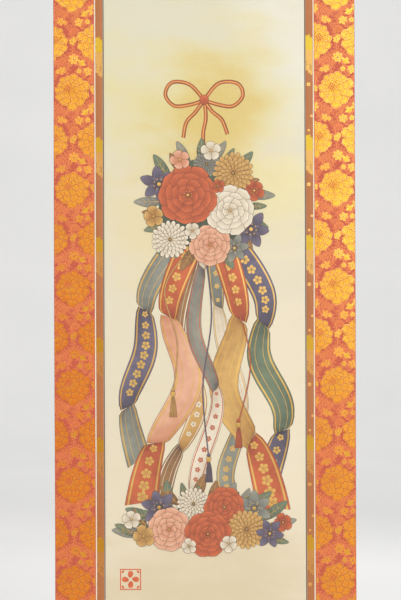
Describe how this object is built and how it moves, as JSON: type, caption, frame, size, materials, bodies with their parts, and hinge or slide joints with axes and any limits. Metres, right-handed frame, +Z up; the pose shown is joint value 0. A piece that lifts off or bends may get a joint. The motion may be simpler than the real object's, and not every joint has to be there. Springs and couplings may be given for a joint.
{
  "type": "hanging scroll",
  "caption": "Tall cloth hanging scroll: painted silk panel framed by a dark line, a narrow copper strip, a white line and a wide gold-figured brocade mount",
  "frame": {"origin": "the middle of the top edge, on the plane that the face of the cloth hangs about", "axes": "+X to the right as seen from the front, -Y out of the painted face, +Z up along the length"},
  "size_m": [0.545, 0.0203, 1.9],
  "materials": {
    "painted_silk": "cream painted silk, matt, with a warm gold haze and a painted flower ball with ribbons",
    "gold_brocade": "orange and crimson silk brocade figured with peonies in gold thread",
    "copper_brocade": "copper-brown silk with woven gold bars and small blossoms",
    "white_line": "cream silk line, slightly raised",
    "dark_line": "dark olive-brown silk line"
  },
  "bodies": {
    "root": {"painting_panel": "painted_silk", "dark_line_top": "dark_line", "dark_line_bottom": "dark_line", "dark_line_left": "dark_line", "dark_line_right": "dark_line", "inner_strip_top": "copper_brocade", "inner_strip_bottom": "copper_brocade", "inner_strip_left": "copper_brocade", "inner_strip_right": "copper_brocade", "white_line_top": "white_line", "white_line_bottom": "white_line", "white_line_left": "white_line", "white_line_right": "white_line", "brocade_top": "gold_brocade", "brocade_bottom": "gold_brocade", "brocade_left": "gold_brocade", "brocade_right": "gold_brocade"}
  },
  "joints": []
}
